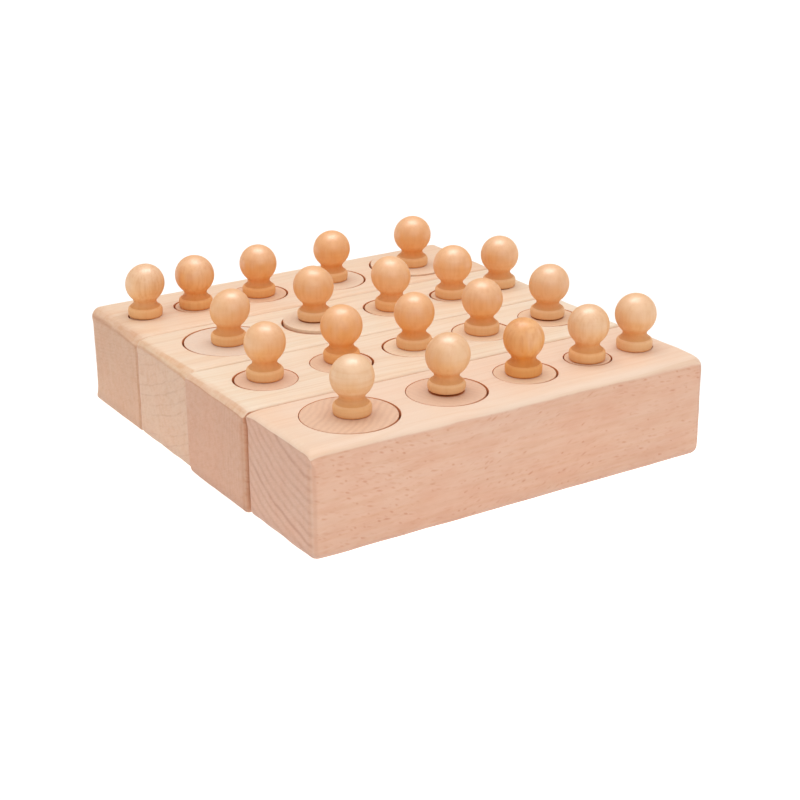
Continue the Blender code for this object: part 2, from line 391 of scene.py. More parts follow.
def socket_profile(radius, floor):
    """The hole a flat-bottomed bit leaves: worn mouth, flat floor, a small centre mark."""
    soft, narrow = 0.12, 0.12
    top = BLOCK_HEIGHT
    mouth = [(radius + soft - soft * math.cos(math.radians(a)), top - soft + soft * math.sin(math.radians(a)))
             for a in (78, 52, 26, 0)]
    return ([(0.0, top + 2.0), (radius + soft + 0.03, top + 2.0)] + mouth +
            [(radius, top - 0.45), (radius - narrow, top - 1.1), (radius - narrow, floor + 0.25),
             (radius - narrow - 0.07, floor + 0.07), (radius - narrow - 0.25, floor),
             (1.3, floor), (0.0, floor - 0.9)])


def cylinder_profile(radius, bottom, top, soft=0.22):
    high = arc(radius - soft, top - soft, soft, 90, 0, 4)
    low = arc(radius - 0.5, bottom + 0.5, 0.5, 0, -90, 5)
    return ([(0.0, top), (radius * 0.5, top)] + high +
            [(radius, top - 2.6), (radius, (top + bottom) / 2)] + low + [(0.0, bottom)])


def knob_profile(size, under):
    """(radius, height): ball, waist, cove, the foot's slanted rim and drum, and the hidden tenon."""
    ball = []
    for r, up in arc(0.0, 0.0, 1.0, 90.0, -46.0, 46):
        ball.append((BALL_R * size * r, BALL_Z + (BALL_R * size if up > 0.0 else BALL_LOW) * up))
    ball[0] = (0.0, ball[0][1])
    down = (ball[-1][0] - ball[-2][0], ball[-1][1] - ball[-2][1])
    length = math.hypot(*down)
    points = list(ball)
    points += curve(ball[-1], (down[0] / length, down[1] / length), (NECK_R, NECK_Z), (0.0, -1.0), 10)
    points += curve((NECK_R, NECK_Z), (0.0, -0.8), (CREASE_R, CREASE_Z), (0.72, -0.70), 8)
    points += curve((CREASE_R, CREASE_Z), (1.0, -0.05), (FOOT_R, FOOT_H - 0.55), (0.05, -1.0), 8)
    points += curve((FOOT_R, FOOT_H - 0.55), (0.03, -1.0), (FOOT_R - 0.05, under + 0.80), (-0.12, -1.0), 4)
    points += curve((FOOT_R - 0.05, under + 0.80), (-0.12, -1.0), (FOOT_R - 0.45, under), (-0.9, -0.3), 6)
    points += [(TENON_R + 0.8, under), (TENON_R, under), (TENON_R, -TENON_LENGTH + 0.5),
               (TENON_R - 0.4, -TENON_LENGTH), (0.0, -TENON_LENGTH)]
    return points


def cut_away(name, body, tools):
    """The body's mesh with the tools' shapes cut out of it."""
    piece, tool = new_object(name, body), new_object(name + "_tool", tools)
    mod = piece.modifiers.new("cut", "BOOLEAN")
    mod.operation = "DIFFERENCE"
    mod.solver = "EXACT"
    mod.object = tool
    graph = bpy.context.evaluated_depsgraph_get()
    made = bpy.data.meshes.new_from_object(piece.evaluated_get(graph))
    for obj in (piece, tool):
        mesh = obj.data
        bpy.data.objects.remove(obj, do_unlink=True)
        bpy.data.meshes.remove(mesh)
    return made


def finish_piece(name, mesh, mat, degrees, body, node):
    mesh.name = name
    mesh.materials.clear()
    mesh.materials.append(mat)
    mesh.shade_smooth()
    mesh.set_sharp_from_angle(angle=math.radians(degrees))
    obj = new_object(name, mesh)
    mod = obj.modifiers.new("even_shading", "WEIGHTED_NORMAL")
    mod.mode = "FACE_AREA"
    mod.weight = 60
    mod.keep_sharp = True
    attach(obj, body)
    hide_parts(node)
    return obj


# ---- materials ----------------------------------------------------------------------
class Wood:
    """Builds one node material. Numbers and sockets can be mixed freely as arguments."""

    def __init__(self, name):
        self.mat = bpy.data.materials.new(name)
        self.mat.use_nodes = True
        self.tree = self.mat.node_tree
        self.tree.nodes.clear()
        self.out = self.node("ShaderNodeOutputMaterial")
        self.bsdf = self.node("ShaderNodeBsdfPrincipled")
        self.tree.links.new(self.bsdf.outputs["BSDF"], self.out.inputs["Surface"])
        self.place = self.node("ShaderNodeTexCoord")

    def node(self, kind, **settings):
        made = self.tree.nodes.new(kind)
        for key, value in settings.items():
            setattr(made, key, value)
        return made

    def put(self, socket, value):
        if isinstance(value, bpy.types.NodeSocket):
            self.tree.links.new(value, socket)
        elif isinstance(value, tuple) and len(value) == 3 and socket.type == "RGBA":
            socket.default_value = (*value, 1.0)
        else:
            socket.default_value = value

    def math(self, op, a, b=0.0, c=0.0, clamp=False):
        made = self.node("ShaderNodeMath", operation=op, use_clamp=clamp)
        for socket, value in zip(made.inputs, (a, b, c)):
            self.put(socket, value)
        return made.outputs[0]

    def times(self, *values):
        made = values[0]
        for value in values[1:]:
            made = self.math("MULTIPLY", made, value)
        return made

    def vector(self, op, a, b=(0.0, 0.0, 0.0)):
        made = self.node("ShaderNodeVectorMath", operation=op)
        self.put(made.inputs[0], a)
        self.put(made.inputs[1], b)
        return made.outputs[0]

    def split(self, v):
        made = self.node("ShaderNodeSeparateXYZ")
        self.put(made.inputs[0], v)
        return made.outputs[0], made.outputs[1], made.outputs[2]

    def join(self, x, y, z):
        made = self.node("ShaderNodeCombineXYZ")
        for socket, value in zip(made.inputs, (x, y, z)):
            self.put(socket, value)
        return made.outputs[0]

    def local(self, origin):
        """Millimetres from a point of the piece."""
        scaled = self.vector("MULTIPLY", self.place.outputs["Object"], (1000.0,) * 3)
        return self.vector("SUBTRACT", scaled, origin)

    def noise(self, v, detail=2.0, rough=0.5, distortion=0.0):
        made = self.node("ShaderNodeTexNoise", noise_dimensions="3D")
        self.put(made.inputs["Vector"], v)
        made.inputs["Scale"].default_value = 1.0
        made.inputs["Detail"].default_value = detail
        made.inputs["Roughness"].default_value = rough
        made.inputs["Distortion"].default_value = distortion
        return made.outputs["Fac"], made.outputs["Color"]

    def stretched(self, v, scale, seed, **kw):
        """Noise whose features are 1/scale mm along each axis."""
        moved = self.vector("MULTIPLY_ADD", v, scale)
        made = moved.node
        made.inputs[2].default_value = (seed * 3.17, seed * 7.31, seed * 1.93)
        return self.noise(moved, **kw)

    def marks(self, u, v, cell, seed):
        """One point in each cell of a loose grid: the way from it in mm, its u, three random numbers."""
        du, dv = seed * 3.7, seed * 5.9
        at = self.join(self.math("MULTIPLY_ADD", u, 1.0 / cell[0], du), self.math("MULTIPLY_ADD", v, 1.0 / cell[1], dv), 0.0)
        made = self.node("ShaderNodeTexVoronoi", voronoi_dimensions="2D", feature="F1")
        self.put(made.inputs["Vector"], at)
        made.inputs["Scale"].default_value = 1.0
        away = self.split(self.vector("SUBTRACT", at, made.outputs["Position"]))
        where = self.math("MULTIPLY", self.math("SUBTRACT", self.split(made.outputs["Position"])[0], du), cell[0])
        return (self.math("MULTIPLY", away[0], cell[0]), self.math("MULTIPLY", away[1], cell[1]), where,
                self.split(made.outputs["Color"]))

    def step(self, v, low, high, to_low=0.0, to_high=1.0):
        made = self.node("ShaderNodeMapRange", interpolation_type="SMOOTHSTEP")
        self.put(made.inputs["Value"], v)
        for key, value in zip(("From Min", "From Max", "To Min", "To Max"), (low, high, to_low, to_high)):
            self.put(made.inputs[key], value)
        return made.outputs["Result"]

    def mix(self, share, a, b, mode="MIX"):
        made = self.node("ShaderNodeMix", data_type="RGBA", blend_type=mode)
        made.clamp_factor = True
        self.put(made.inputs[0], share)
        self.put(made.inputs[6], a)
        self.put(made.inputs[7], b)
        return made.outputs[2]

    def tint(self, share, colour, by):
        return self.mix(share, colour, by, mode="MULTIPLY")

    def bump(self, height, strength, distance):
        made = self.node("ShaderNodeBump")
        made.inputs["Strength"].default_value = strength
        made.inputs["Distance"].default_value = distance
        self.put(made.inputs["Height"], height)
        self.tree.links.new(made.outputs["Normal"], self.bsdf.inputs["Normal"])

    def rings(self, across_a, across_b, centre, spacing, thick, wobble):
        """Growth rings round an axis: 1 in the dark late wood, some rings stronger than others."""
        da = self.math("SUBTRACT", across_a, centre[0])
        db = self.math("SUBTRACT", across_b, centre[1])
        far = self.math("SQRT", self.math("MULTIPLY_ADD", da, da, self.math("MULTIPLY", db, db)))
        count = self.math("DIVIDE", self.math("ADD", far, wobble), spacing)
        off = self.math("MULTIPLY", self.math("ABSOLUTE", self.math("SUBTRACT", self.math("FRACT", count), 0.5)), spacing)
        late = self.step(off, 0.0, thick, 1.0, 0.0)
        which = self.node("ShaderNodeTexWhiteNoise", noise_dimensions="1D")
        self.put(which.inputs["W"], self.math("FLOOR", count))
        late = self.times(late, self.step(which.outputs["Value"], 0.0, 1.0, 0.45, 1.0))
        return late, far, self.math("MULTIPLY", self.math("ARCTAN2", db, da), math.hypot(*centre))


def block_material(b, origin):
    look = BLOCK_LOOKS[b]
    seed = 1.7 + 2.9 * b
    w = Wood("block_wood_%d" % (b + 1))
    p = w.local(origin)
    x, y, z = w.split(p)
    nx, ny, nz = w.split(w.place.outputs["Normal"])
    ax, ay = w.math("ABSOLUTE", nx), w.math("ABSOLUTE", ny)
    upright = w.step(nz, 0.30, 0.62, 1.0, 0.0)
    endwise = w.step(w.math("SUBTRACT", ax, ay), -0.45, 0.45)
    end = w.times(upright, endwise)
    side = w.times(upright, w.math("SUBTRACT", 1.0, endwise))

    # growth rings, seen across on the ends and along on the other faces
    _, drift = w.stretched(p, (0.008, 0.030, 0.030), seed, detail=2.0)
    d1, d2, _ = w.split(drift)
    yy = w.math("MULTIPLY_ADD", w.math("SUBTRACT", d1, 0.5), look["drift"] * 2, y)
    zz = w.math("MULTIPLY_ADD", w.math("SUBTRACT", d2, 0.5), look["drift"] * 2, z)
    shake, _ = w.stretched(p, (0.02, 0.16, 0.16), seed + 0.6, detail=2.0)
    late, far, turn = w.rings(yy, zz, look["pith"], look["ring"][0], look["ring"][1],
                              w.times(w.math("SUBTRACT", shake, 0.5), 1.6))
    patch, _ = w.noise(w.join(w.math("MULTIPLY", x, 0.05), w.math("MULTIPLY", turn, 0.16), w.math("MULTIPLY", far, 0.45)),
                       detail=2.0)
    late = w.times(late, w.step(patch, 0.32, 0.62, 0.50 if b == 0 else 0.15, 1.0))
    if b == 1:
        late = w.times(late, w.step(y, -6.0, 3.0, 1.0, 0.1))
    if b == 3:
        late = w.times(late, w.step(z, -6.0, 4.0, 0.1, 1.0))
    show = w.math("MULTIPLY_ADD", end, look["end_ring"] - look["long_ring"], look["long_ring"])

    # fibres, which wander a little along the block, and the broad clouds of colour
    wander, _ = w.stretched(p, (0.020, 0.014, 0.014), seed + 8.3, detail=1.0)
    grain = w.join(x, w.math("MULTIPLY_ADD", w.math("SUBTRACT", wander, 0.5), 10.0, y), z)
    fibre, _ = w.stretched(grain, (0.012, 0.55, 0.55), seed + 1.1, detail=3.0, rough=0.55)
    fine, _ = w.stretched(grain, (0.09, 2.6, 2.6), seed + 1.9, detail=3.0, rough=0.6)
    broad, _ = w.stretched(p, (0.020, 0.060, 0.060), seed + 2.4, detail=2.0)
    mottle, _ = w.stretched(p, (0.075, 0.16, 0.16), seed + 4.2, detail=3.0, rough=0.6)

    # scratches of the sanding belt on the ends
    slant = math.radians(27.0)
    along = w.math("MULTIPLY_ADD", y, -math.cos(slant), w.math("MULTIPLY", z, math.sin(slant)))
    across = w.math("MULTIPLY_ADD", y, math.sin(slant), w.math("MULTIPLY", z, math.cos(slant)))
    scratch, _ = w.noise(w.join(w.math("MULTIPLY", along, 0.22), w.math("MULTIPLY_ADD", across, 2.4, seed), 3.0),
                         detail=2.0, rough=0.6)
    bands, _ = w.noise(w.join(w.math("MULTIPLY_ADD", y, 0.55, seed), w.math("MULTIPLY", z, 0.05), 7.0), detail=2.0)

    # short dark flecks on the long faces; they lean this way and that along the block
    face = w.step(y, -0.5, 0.5, 0.0, 41.0)
    du, dv, spot, (r1, r2, r3) = w.marks(w.math("ADD", x, face), z, (2.5, 2.0), seed + 0.3)
    angle = w.math("ADD", w.step(spot, -34.0, -16.0, -24.0, 17.0), w.step(spot, 24.0, 42.0, 0.0, -33.0))
    angle = w.math("RADIANS", w.math("MULTIPLY_ADD", w.math("SUBTRACT", r3, 0.5), 26.0, angle))
    ca, sa = w.math("COSINE", angle), w.math("SINE", angle)
    a = w.math("ADD", w.times(du, ca), w.times(dv, sa))
    c = w.math("SUBTRACT", w.times(dv, ca), w.times(du, sa))
    a = w.math("DIVIDE", a, w.math("MULTIPLY_ADD", r3, 0.95, 0.36))
    c = w.math("DIVIDE", c, w.math("MULTIPLY_ADD", r2, 0.12, 0.21))
    reach = w.math("SQRT", w.math("MULTIPLY_ADD", a, a, w.math("MULTIPLY", c, c)))
    crowd, _ = w.stretched(p, (0.035, 0.05, 0.085), seed + 3.3, detail=2.0)
    some = w.step(w.math("SUBTRACT", w.step(crowd, 0.35, 0.62, 0.15, 0.80), r1), -0.02, 0.04)
    fleck = w.times(w.step(reach, 0.0, 1.65, 1.0, 0.0), some, w.math("MULTIPLY_ADD", w.times(r2, r2), 0.44, 0.17), side)
    # longer, fainter ones between them
    du, dv, _, (r1, r2, r3) = w.marks(w.math("ADD", x, face), w.math("MULTIPLY_ADD", x, -0.05, z), (5.5, 1.7), seed + 0.9)
    a = w.math("DIVIDE", w.math("MULTIPLY_ADD", dv, w.math("MULTIPLY_ADD", r3, 0.8, -0.3), du), w.math("MULTIPLY_ADD", r2, 1.6, 0.9))
    c = w.math("DIVIDE", dv, 0.45)
    reach = w.math("SQRT", w.math("MULTIPLY_ADD", a, a, w.math("MULTIPLY", c, c)))
    faint = w.times(w.step(reach, 0.0, 1.3, 1.0, 0.0), w.step(r1, 0.30, 0.60), side)

    # the tops are paler than the sides: painted light from above
    colour = w.mix(side, look["top"], look["side"])
    colour = w.mix(end, colour, look["end"])
    colour = w.tint(w.times(late, show), colour, LATE_WOOD)
    colour = w.tint(w.step(fibre, 0.40, 0.70, 0.0, 0.45 if b == 0 else 0.70), colour, (0.94, 0.86, 0.77))
    colour = w.tint(w.times(w.step(fine, 0.38, 0.75, 0.0, 0.30), w.math("SUBTRACT", 1.0, end)), colour, (0.93, 0.86, 0.82))
    colour = w.tint(w.step(broad, 0.35, 0.70, 0.0, 0.60), colour, (1.02, 0.95, 0.91))
    colour = w.tint(w.times(w.step(mottle, 0.38, 0.68, 0.0, 0.75), side), colour, (0.95, 0.86, 0.82))
    colour = w.tint(w.times(w.step(scratch, 0.35, 0.70, 0.0, 0.38), end), colour, (0.88, 0.84, 0.80))
    colour = w.tint(w.times(w.step(mottle, 0.35, 0.68, 0.0, 0.45), end), colour, (0.96, 0.90, 0.87))
    if b == 3:
        colour = w.tint(w.times(w.step(bands, 0.35, 0.65, 0.0, 0.3), end, w.step(z, -8.0, 6.0, 1.0, 0.2)), colour,
                        (0.93, 0.90, 0.86))
    # painted shade: the ends darker towards the bottom
    colour = w.tint(w.times(end, w.step(z, -17.5, -11.5, 1.0, 0.0)), colour, (0.83, 0.83, 0.84))
    colour = w.tint(w.times(faint, 0.55), colour, (0.93, 0.83, 0.77))
    colour = w.tint(fleck, colour, FLECK)
    if b > 0:
        # the sloped edge above the left end takes a warmer, darker colour: painted shade of the slope, partly rubbed
        # wear
        wear_and_shade, _ = w.stretched(p, (0.30, 0.09, 0.30), seed + 6.1, detail=3.0, rough=0.55)
        near = w.step(w.math("MULTIPLY_ADD", w.math("SUBTRACT", wear_and_shade, 0.5), 5.0, x), -BLOCK_LENGTH / 2 + 0.5,
                      -BLOCK_LENGTH / 2 + (7.0 if b == 3 else 4.0), 1.0, 0.0)
        slope = w.times(w.math("MAXIMUM", w.step(w.times(ax, nz), 0.16, 0.42), w.times(near, 0.75)),
                        w.step(nz, 0.15, 0.40), w.step(x, -20.0, -10.0, 1.0, 0.0), w.step(wear_and_shade, 0.35, 0.62, 0.65, 1.0))
        ragged, _ = w.stretched(p, (0.9, 0.16, 1.1), seed + 7.7, detail=3.0, rough=0.60)
        colour = w.tint(w.times(slope, w.step(ragged, 0.40, 0.66, 0.0, 0.5)), colour, (0.93, 0.83, 0.74))
        colour = w.tint(slope, colour, (None, (0.90, 0.71, 0.61), (0.94, 0.79, 0.68), (0.86, 0.71, 0.63))[b])
    # painted shade: the sides darker towards the bottom
    colour = w.tint(w.times(side, w.step(z, -16.0, 2.0, 0.8, 0.0)), colour, (0.92, 0.92, 0.92))
    colour = w.tint(w.times(side, w.step(z, -17.5, -12.5, 1.0, 0.0)), colour, (0.91, 0.92, 0.93))
    # painted shade: the rounded upright corners darker
    if b == 0:
        colour = w.tint(w.times(side, w.step(ax, 0.04, 0.35)), colour, (0.92, 0.88, 0.87))
    else:
        colour = w.tint(w.times(upright, w.step(w.times(ax, ay), 0.10, 0.42)), colour, (0.93, 0.90, 0.88))
    if b == 0:
        pale = w.times(side, w.step(z, -6.0, 12.0), w.step(x, -72.0, -50.0), w.step(x, -5.0, 30.0, 1.0, 0.0))
        colour = w.tint(pale, colour, (1.02, 1.06, 1.09))
        colour = w.tint(w.times(w.step(x, 48.0, 72.0), w.step(nz, 0.5, 0.8), w.step(mottle, 0.35, 0.62, 0.3, 1.0)), colour,
                        (0.99, 0.96, 0.94))
        colour = w.tint(w.times(w.step(x, -72.0, -62.0, 1.0, 0.0), w.step(nz, 0.5, 0.8), 0.7), colour, (1.0, 0.95, 0.90))
    if b == 2:
        colour = w.tint(w.times(w.step(x, -60.0, -36.0, 1.0, 0.0), w.step(nz, 0.5, 0.8)), colour, (0.99, 0.94, 0.92))
    if b == 3:
        colour = w.tint(w.times(w.step(x, 15.0, 70.0), w.step(nz, 0.5, 0.8)), colour, (0.97, 0.89, 0.84))
        colour = w.tint(w.times(w.step(x, -70.0, -56.0, 1.0, 0.0), w.step(mottle, 0.40, 0.60), w.step(nz, 0.5, 0.8)), colour,
                        (0.98, 0.92, 0.87))
    # painted shade: faces turned downwards darker
    colour = w.tint(w.step(nz, -0.60, 0.0, 1.0, 0.0), colour, (0.80, 0.83, 0.88))
    if b == 1:
        # painted shade: the front corner of the left end is darker, where it faces the next block
        colour = w.tint(w.times(side, w.step(x, -BLOCK_LENGTH / 2 + 4.0, -BLOCK_LENGTH / 2 + 9.0, 1.0, 0.0)), colour,
                        (0.90, 0.78, 0.70))
    # painted shade: the sockets' walls near the mouth take the warm red-brown of the shaded gap round the cylinder;
    # only the sockets' walls lie this far inside
    inside = w.times(w.step(w.math("ABSOLUTE", y), BLOCK_WIDTH / 2 - 3.2, BLOCK_WIDTH / 2 - 2.6, 1.0, 0.0),
                     w.step(w.math("ABSOLUTE", x), BLOCK_LENGTH / 2 - 6.0, BLOCK_LENGTH / 2 - 5.0, 1.0, 0.0))
    rim = w.times(inside, w.step(nz, 0.55, 0.85, 1.0, 0.0), w.step(z, 13.5, 16.0, 0.0, 1.0))
    colour = w.mix(w.times(rim, 0.85), colour, GAP_SHADE)
    w.put(w.bsdf.inputs["Base Color"], colour)
    w.put(w.bsdf.inputs["Roughness"], w.step(fine, 0.2, 0.8, 0.44, 0.56))
    height = w.math("MULTIPLY_ADD", fleck, -0.5, w.math("MULTIPLY_ADD", fibre, 0.3, w.math("MULTIPLY", fine, 0.4)))
    w.bump(height, 0.18, 0.00012)
    return w.mat


def cylinder_material(b, i, origin):
    direction, far_off, strength = CYL_GRAIN[b][i]
    seed = 20.3 + 3.7 * b + 1.3 * i
    w = Wood("cylinder_wood_%d_%d" % (b + 1, i + 1))
    p = w.local(origin)
    x, y, z = w.split(p)
    _, _, nz = w.split(w.place.outputs["Normal"])
    end = w.step(w.math("ABSOLUTE", nz), 0.55, 0.97)
    _, drift = w.stretched(p, (0.05, 0.05, 0.012), seed, detail=2.0)
    d1, d2, _ = w.split(drift)
    xx = w.math("MULTIPLY_ADD", w.math("SUBTRACT", d1, 0.5), 4.0, x)
    yy = w.math("MULTIPLY_ADD", w.math("SUBTRACT", d2, 0.5), 4.0, y)
    shake, _ = w.stretched(p, (0.25, 0.25, 0.03), seed + 0.6, detail=2.0)
    centre = (far_off * math.cos(math.radians(direction)), far_off * math.sin(math.radians(direction)))
    late, far, turn = w.rings(xx, yy, centre, 2.1, 0.9, w.times(w.math("SUBTRACT", shake, 0.5), 1.6))
    fibre, _ = w.stretched(p, (0.9, 0.9, 0.02), seed + 1.1, detail=3.0, rough=0.6)
    fine, _ = w.stretched(p, (3.5, 3.5, 0.08), seed + 1.9, detail=3.0, rough=0.6)
    cloud, _ = w.stretched(p, (0.12, 0.12, 0.03), seed + 2.6, detail=2.0)

    tint = CYL_TINT[b][i]
    light = tuple(c * t for c, t in zip(CYL_LIGHT, tint))
    dark = tuple(c * t for c, t in zip(CYL_DARK, tint))
    colour = w.mix(w.times(late, strength), light, dark)
    colour = w.mix(w.step(fibre, 0.40, 0.72, 0.0, 0.22), colour, dark)
    colour = w.mix(w.step(fine, 0.40, 0.75, 0.0, 0.16), colour, dark)
    colour = w.tint(w.step(cloud, 0.35, 0.65, 0.0, 0.5), colour, (1.0, 0.95, 0.92))
    proud = PROUD.get((b, i), 0.0)
    # painted shade: the side just under the top takes the warm red-brown of the gap round it
    rim = w.times(w.step(nz, 0.35, 0.75, 1.0, 0.0), w.step(z, -proud - 2.2, -proud - 0.5, 0.0, 1.0),
                  w.step(z, -proud - 0.1, -proud + 0.15, 1.0, 0.0 if proud else 1.0))
    colour = w.mix(w.times(rim, 0.55), colour, GAP_SHADE)
    if (b, i) in OPEN_SEAT:
        # painted shade: dark red-brown on the top in the gap under the foot that has come off its seat
        kx, ky = KNOB_SHIFT[b][i]
        ox, oy = w.math("SUBTRACT", x, kx), w.math("SUBTRACT", y, ky)
        out = w.math("SQRT", w.math("MULTIPLY_ADD", ox, ox, w.math("MULTIPLY", oy, oy)))
        colour = w.mix(w.times(w.step(out, FOOT_R - 0.5, FOOT_R - 0.1, 1.0, 0.0), end), colour, SEAT_SHADE)
    w.put(w.bsdf.inputs["Base Color"], colour)
    w.put(w.bsdf.inputs["Roughness"], w.step(fine, 0.2, 0.8, 0.48, 0.60))
    w.bump(w.math("MULTIPLY_ADD", fibre, 0.4, w.math("MULTIPLY", fine, 0.5)), 0.20, 0.00012)
    return w.mat


def knob_material(b, i, origin):
    tone, foot_tone, streaks, turned = KNOB_TONE[b][i]
    seed = 60.1 + 5.3 * b + 2.1 * i
    w = Wood("knob_wood_%d_%d" % (b + 1, i + 1))
    p = w.local(origin)
    x, y, z = w.split(p)
    fibre, _ = w.stretched(p, (0.75, 0.75, 0.045), seed + 1.1, detail=4.0, rough=0.55)
    fine, _ = w.stretched(p, (3.2, 3.2, 0.16), seed + 1.9, detail=3.0, rough=0.6)
    lathe, _ = w.stretched(p, (0.03, 0.03, 0.9), seed + 2.7, detail=3.0, rough=0.6)
    cloud, _ = w.stretched(p, (0.13, 0.13, 0.10), seed + 3.1, detail=2.0)
    base = tuple(between(h, a, tone) * KNOB_SHADE.get((b, i), 1.0) for h, a in zip(KNOB_HONEY, KNOB_AMBER))
    deep = (0.90, 0.76, 0.60)
    pale = tuple(c + (1.0 - c) * 0.10 for c in base)
    colour = w.mix(w.step(cloud, 0.35, 0.65, 0.0, 0.6), base, pale)
    foot = tuple(between(h, a, foot_tone) * KNOB_SHADE.get((b, i), 1.0) for h, a in zip(KNOB_HONEY, KNOB_AMBER))
    colour = w.mix(w.step(z, CREASE_Z - 0.1, CREASE_Z + 1.2, 1.0, 0.0), colour, foot)
    colour = w.tint(w.times(w.step(fibre, 0.40, 0.70, 0.0, 0.15 + 0.75 * streaks), w.step(z, CREASE_Z, CREASE_Z + 3.0, 0.45, 1.0)),
                    colour, deep)
    if (b, i) in KNOB_HALF:
        # sapwood on one side of the ball
        direction, start, width, other = KNOB_HALF[b, i]
        over = w.math("MULTIPLY_ADD", x, math.cos(math.radians(direction)), w.times(y, math.sin(math.radians(direction))))
        over = w.math("MULTIPLY_ADD", w.math("SUBTRACT", fibre, 0.5), 3.0, over)
        colour = w.tint(w.times(w.step(over, start - width, start + width), w.step(z, NECK_Z, NECK_Z + 2.0)), colour, other)
    colour = w.tint(w.step(fine, 0.45, 0.75, 0.0, 0.15), colour, deep)
    colour = w.tint(w.step(lathe, 0.42, 0.68, 0.0, 0.50 * turned), colour, deep)
    # the cove and the crease above the foot are darker: painted shade of the ball above, and lacquer pooled there
    cove = w.times(w.step(z, CREASE_Z - 0.02, CREASE_Z + 0.12, 0.0, 1.0), w.step(z, NECK_Z + 0.2, NECK_Z + 3.0, 1.0, 0.0))
    colour = w.tint(w.times(cove, 0.80), colour, (0.89, 0.72, 0.53))
    nx, ny, nz = w.split(w.place.outputs["Normal"])
    # painted light and shade: the foot's upward-facing shoulder is paler where light falls from above, and its lower
    # edge and underside are darker in the shade of the seat
    shoulder = w.times(w.step(nz, 0.10, 0.55), w.step(z, CREASE_Z - 0.05, CREASE_Z + 0.10, 1.0, 0.0))
    colour = w.tint(w.times(shoulder, 0.9), colour, (1.08, 1.11, 1.16))
    colour = w.tint(w.step(z, -0.25, 0.55, 0.8, 0.0), colour, (0.90, 0.66, 0.48))
    colour = w.mix(w.times(w.step(nz, -0.85, -0.5, 0.9, 0.0), w.step(z, 0.5, 1.0, 1.0, 0.0)), colour, SEAT_SHADE)
    w.put(w.bsdf.inputs["Base Color"], colour)
    w.put(w.bsdf.inputs["Roughness"], w.step(lathe, 0.2, 0.8, 0.48, 0.56))
    w.put(w.bsdf.inputs["Specular IOR Level"], w.step(z, BALL_Z - 1.0, BALL_Z + 5.0, 0.14, KNOB_DULL.get((b, i), 1.0)))
    facing = w.node("ShaderNodeLayerWeight")
    facing.inputs["Blend"].default_value = 0.5
    w.put(w.bsdf.inputs["Coat Weight"], w.times(w.step(facing.outputs["Facing"], 0.30, 0.80, 1.0, 0.25),
                                                w.step(z, BALL_Z - 4.0, BALL_Z + 3.0, 0.12, KNOB_DULL.get((b, i), 1.0))))
    w.bsdf.inputs["Coat Roughness"].default_value = 0.34
    w.bsdf.inputs["Coat IOR"].default_value = 1.85
    w.bump(w.math("MULTIPLY_ADD", lathe, 0.6, w.math("MULTIPLY", fibre, 0.4)), 0.10, 0.00012)
    return w.mat


# ---- pieces -------------------------------------------------------------------------
for b in range(BLOCK_COUNT):
    kind, run, row_shift = ROWS[b]
    bx = BLOCK_SHIFT[b]
    by = -SET_WIDTH / 2 + BLOCK_WIDTH / 2 + b * (BLOCK_WIDTH + BLOCK_GAP)
    block = "block_%d" % (b + 1)
    sockets = bmesh.new()
    diameters, heights = row_diameters(kind), row_heights(run)
    for i, px in enumerate(row_places(kind)):
        tag = "%d_%d" % (b + 1, i + 1)
        sx, sy = bx + px + row_shift[0], by + row_shift[1]
        top = BLOCK_HEIGHT + PROUD.get((b, i), 0.0)
        floor = top - heights[i] - FLOOR_GAP
        lean = math.radians(LEAN_DIRECTION[b][i])
        revolve(sockets, socket_profile(diameters[i] / 2, floor), 128,
                sx - 0.12 * math.cos(lean), sy - 0.12 * math.sin(lean))
        cx, cy = sx + LEAN * math.cos(lean), sy + LEAN * math.sin(lean)
        kx, ky = cx + KNOB_SHIFT[b][i][0], cy + KNOB_SHIFT[b][i][1]

        drum, bore = bmesh.new(), bmesh.new()
        revolve(drum, cylinder_profile(diameters[i] / 2 - CLEARANCE, top - heights[i], top), 128, cx, cy)
        depth = TENON_LENGTH - SEAT_GAP + BORE_PLAY
        revolve(bore, [(0.0, top + 3.0), (TENON_R + BORE_PLAY, top + 3.0), (TENON_R + BORE_PLAY, top - depth),
                       (0.0, top - depth)], 40, kx, ky)
        mesh = cut_away("drum", mesh_from(drum, "drum"), mesh_from(bore, "bore"))
        finish_piece("cylinder_%s_wood" % tag, mesh, cylinder_material(b, i, (cx, cy, top)), 38,
                     "cylinder_" + tag, "cylinder_" + tag)

        knob = bmesh.new()
        seat = top + SEAT_GAP
        under = OPEN_SEAT.get((b, i), 0.03) - SEAT_GAP
        sideways = BALL_LEAN[b][i]

        def wander(z, seat=seat, sideways=sideways):
            share = sideways * max(0.0, z - seat - CREASE_Z) / (BALL_Z - CREASE_Z)
            return share * LEAN_TO[0], share * LEAN_TO[1]

        revolve(knob, [(r, z + seat) for r, z in knob_profile(BALL_SIZE[b][i], under)], 80, kx, ky, wander)
        finish_piece("knob_%s_wood" % tag, mesh_from(knob, "knob"), knob_material(b, i, (kx, ky, seat)), 30,
                     "cylinder_" + tag, "knob_" + tag)

    solid = bmesh.new()
    sanded_block(solid, bx, by, EDGES[b], CROWNS[b], 3.1 + 5.7 * b)
    mesh = cut_away("solid", mesh_from(solid, "solid"), mesh_from(sockets, "sockets"))
    finish_piece(block + "_wood", mesh, block_material(b, (bx, by, BLOCK_HEIGHT / 2)), 38, block, block)


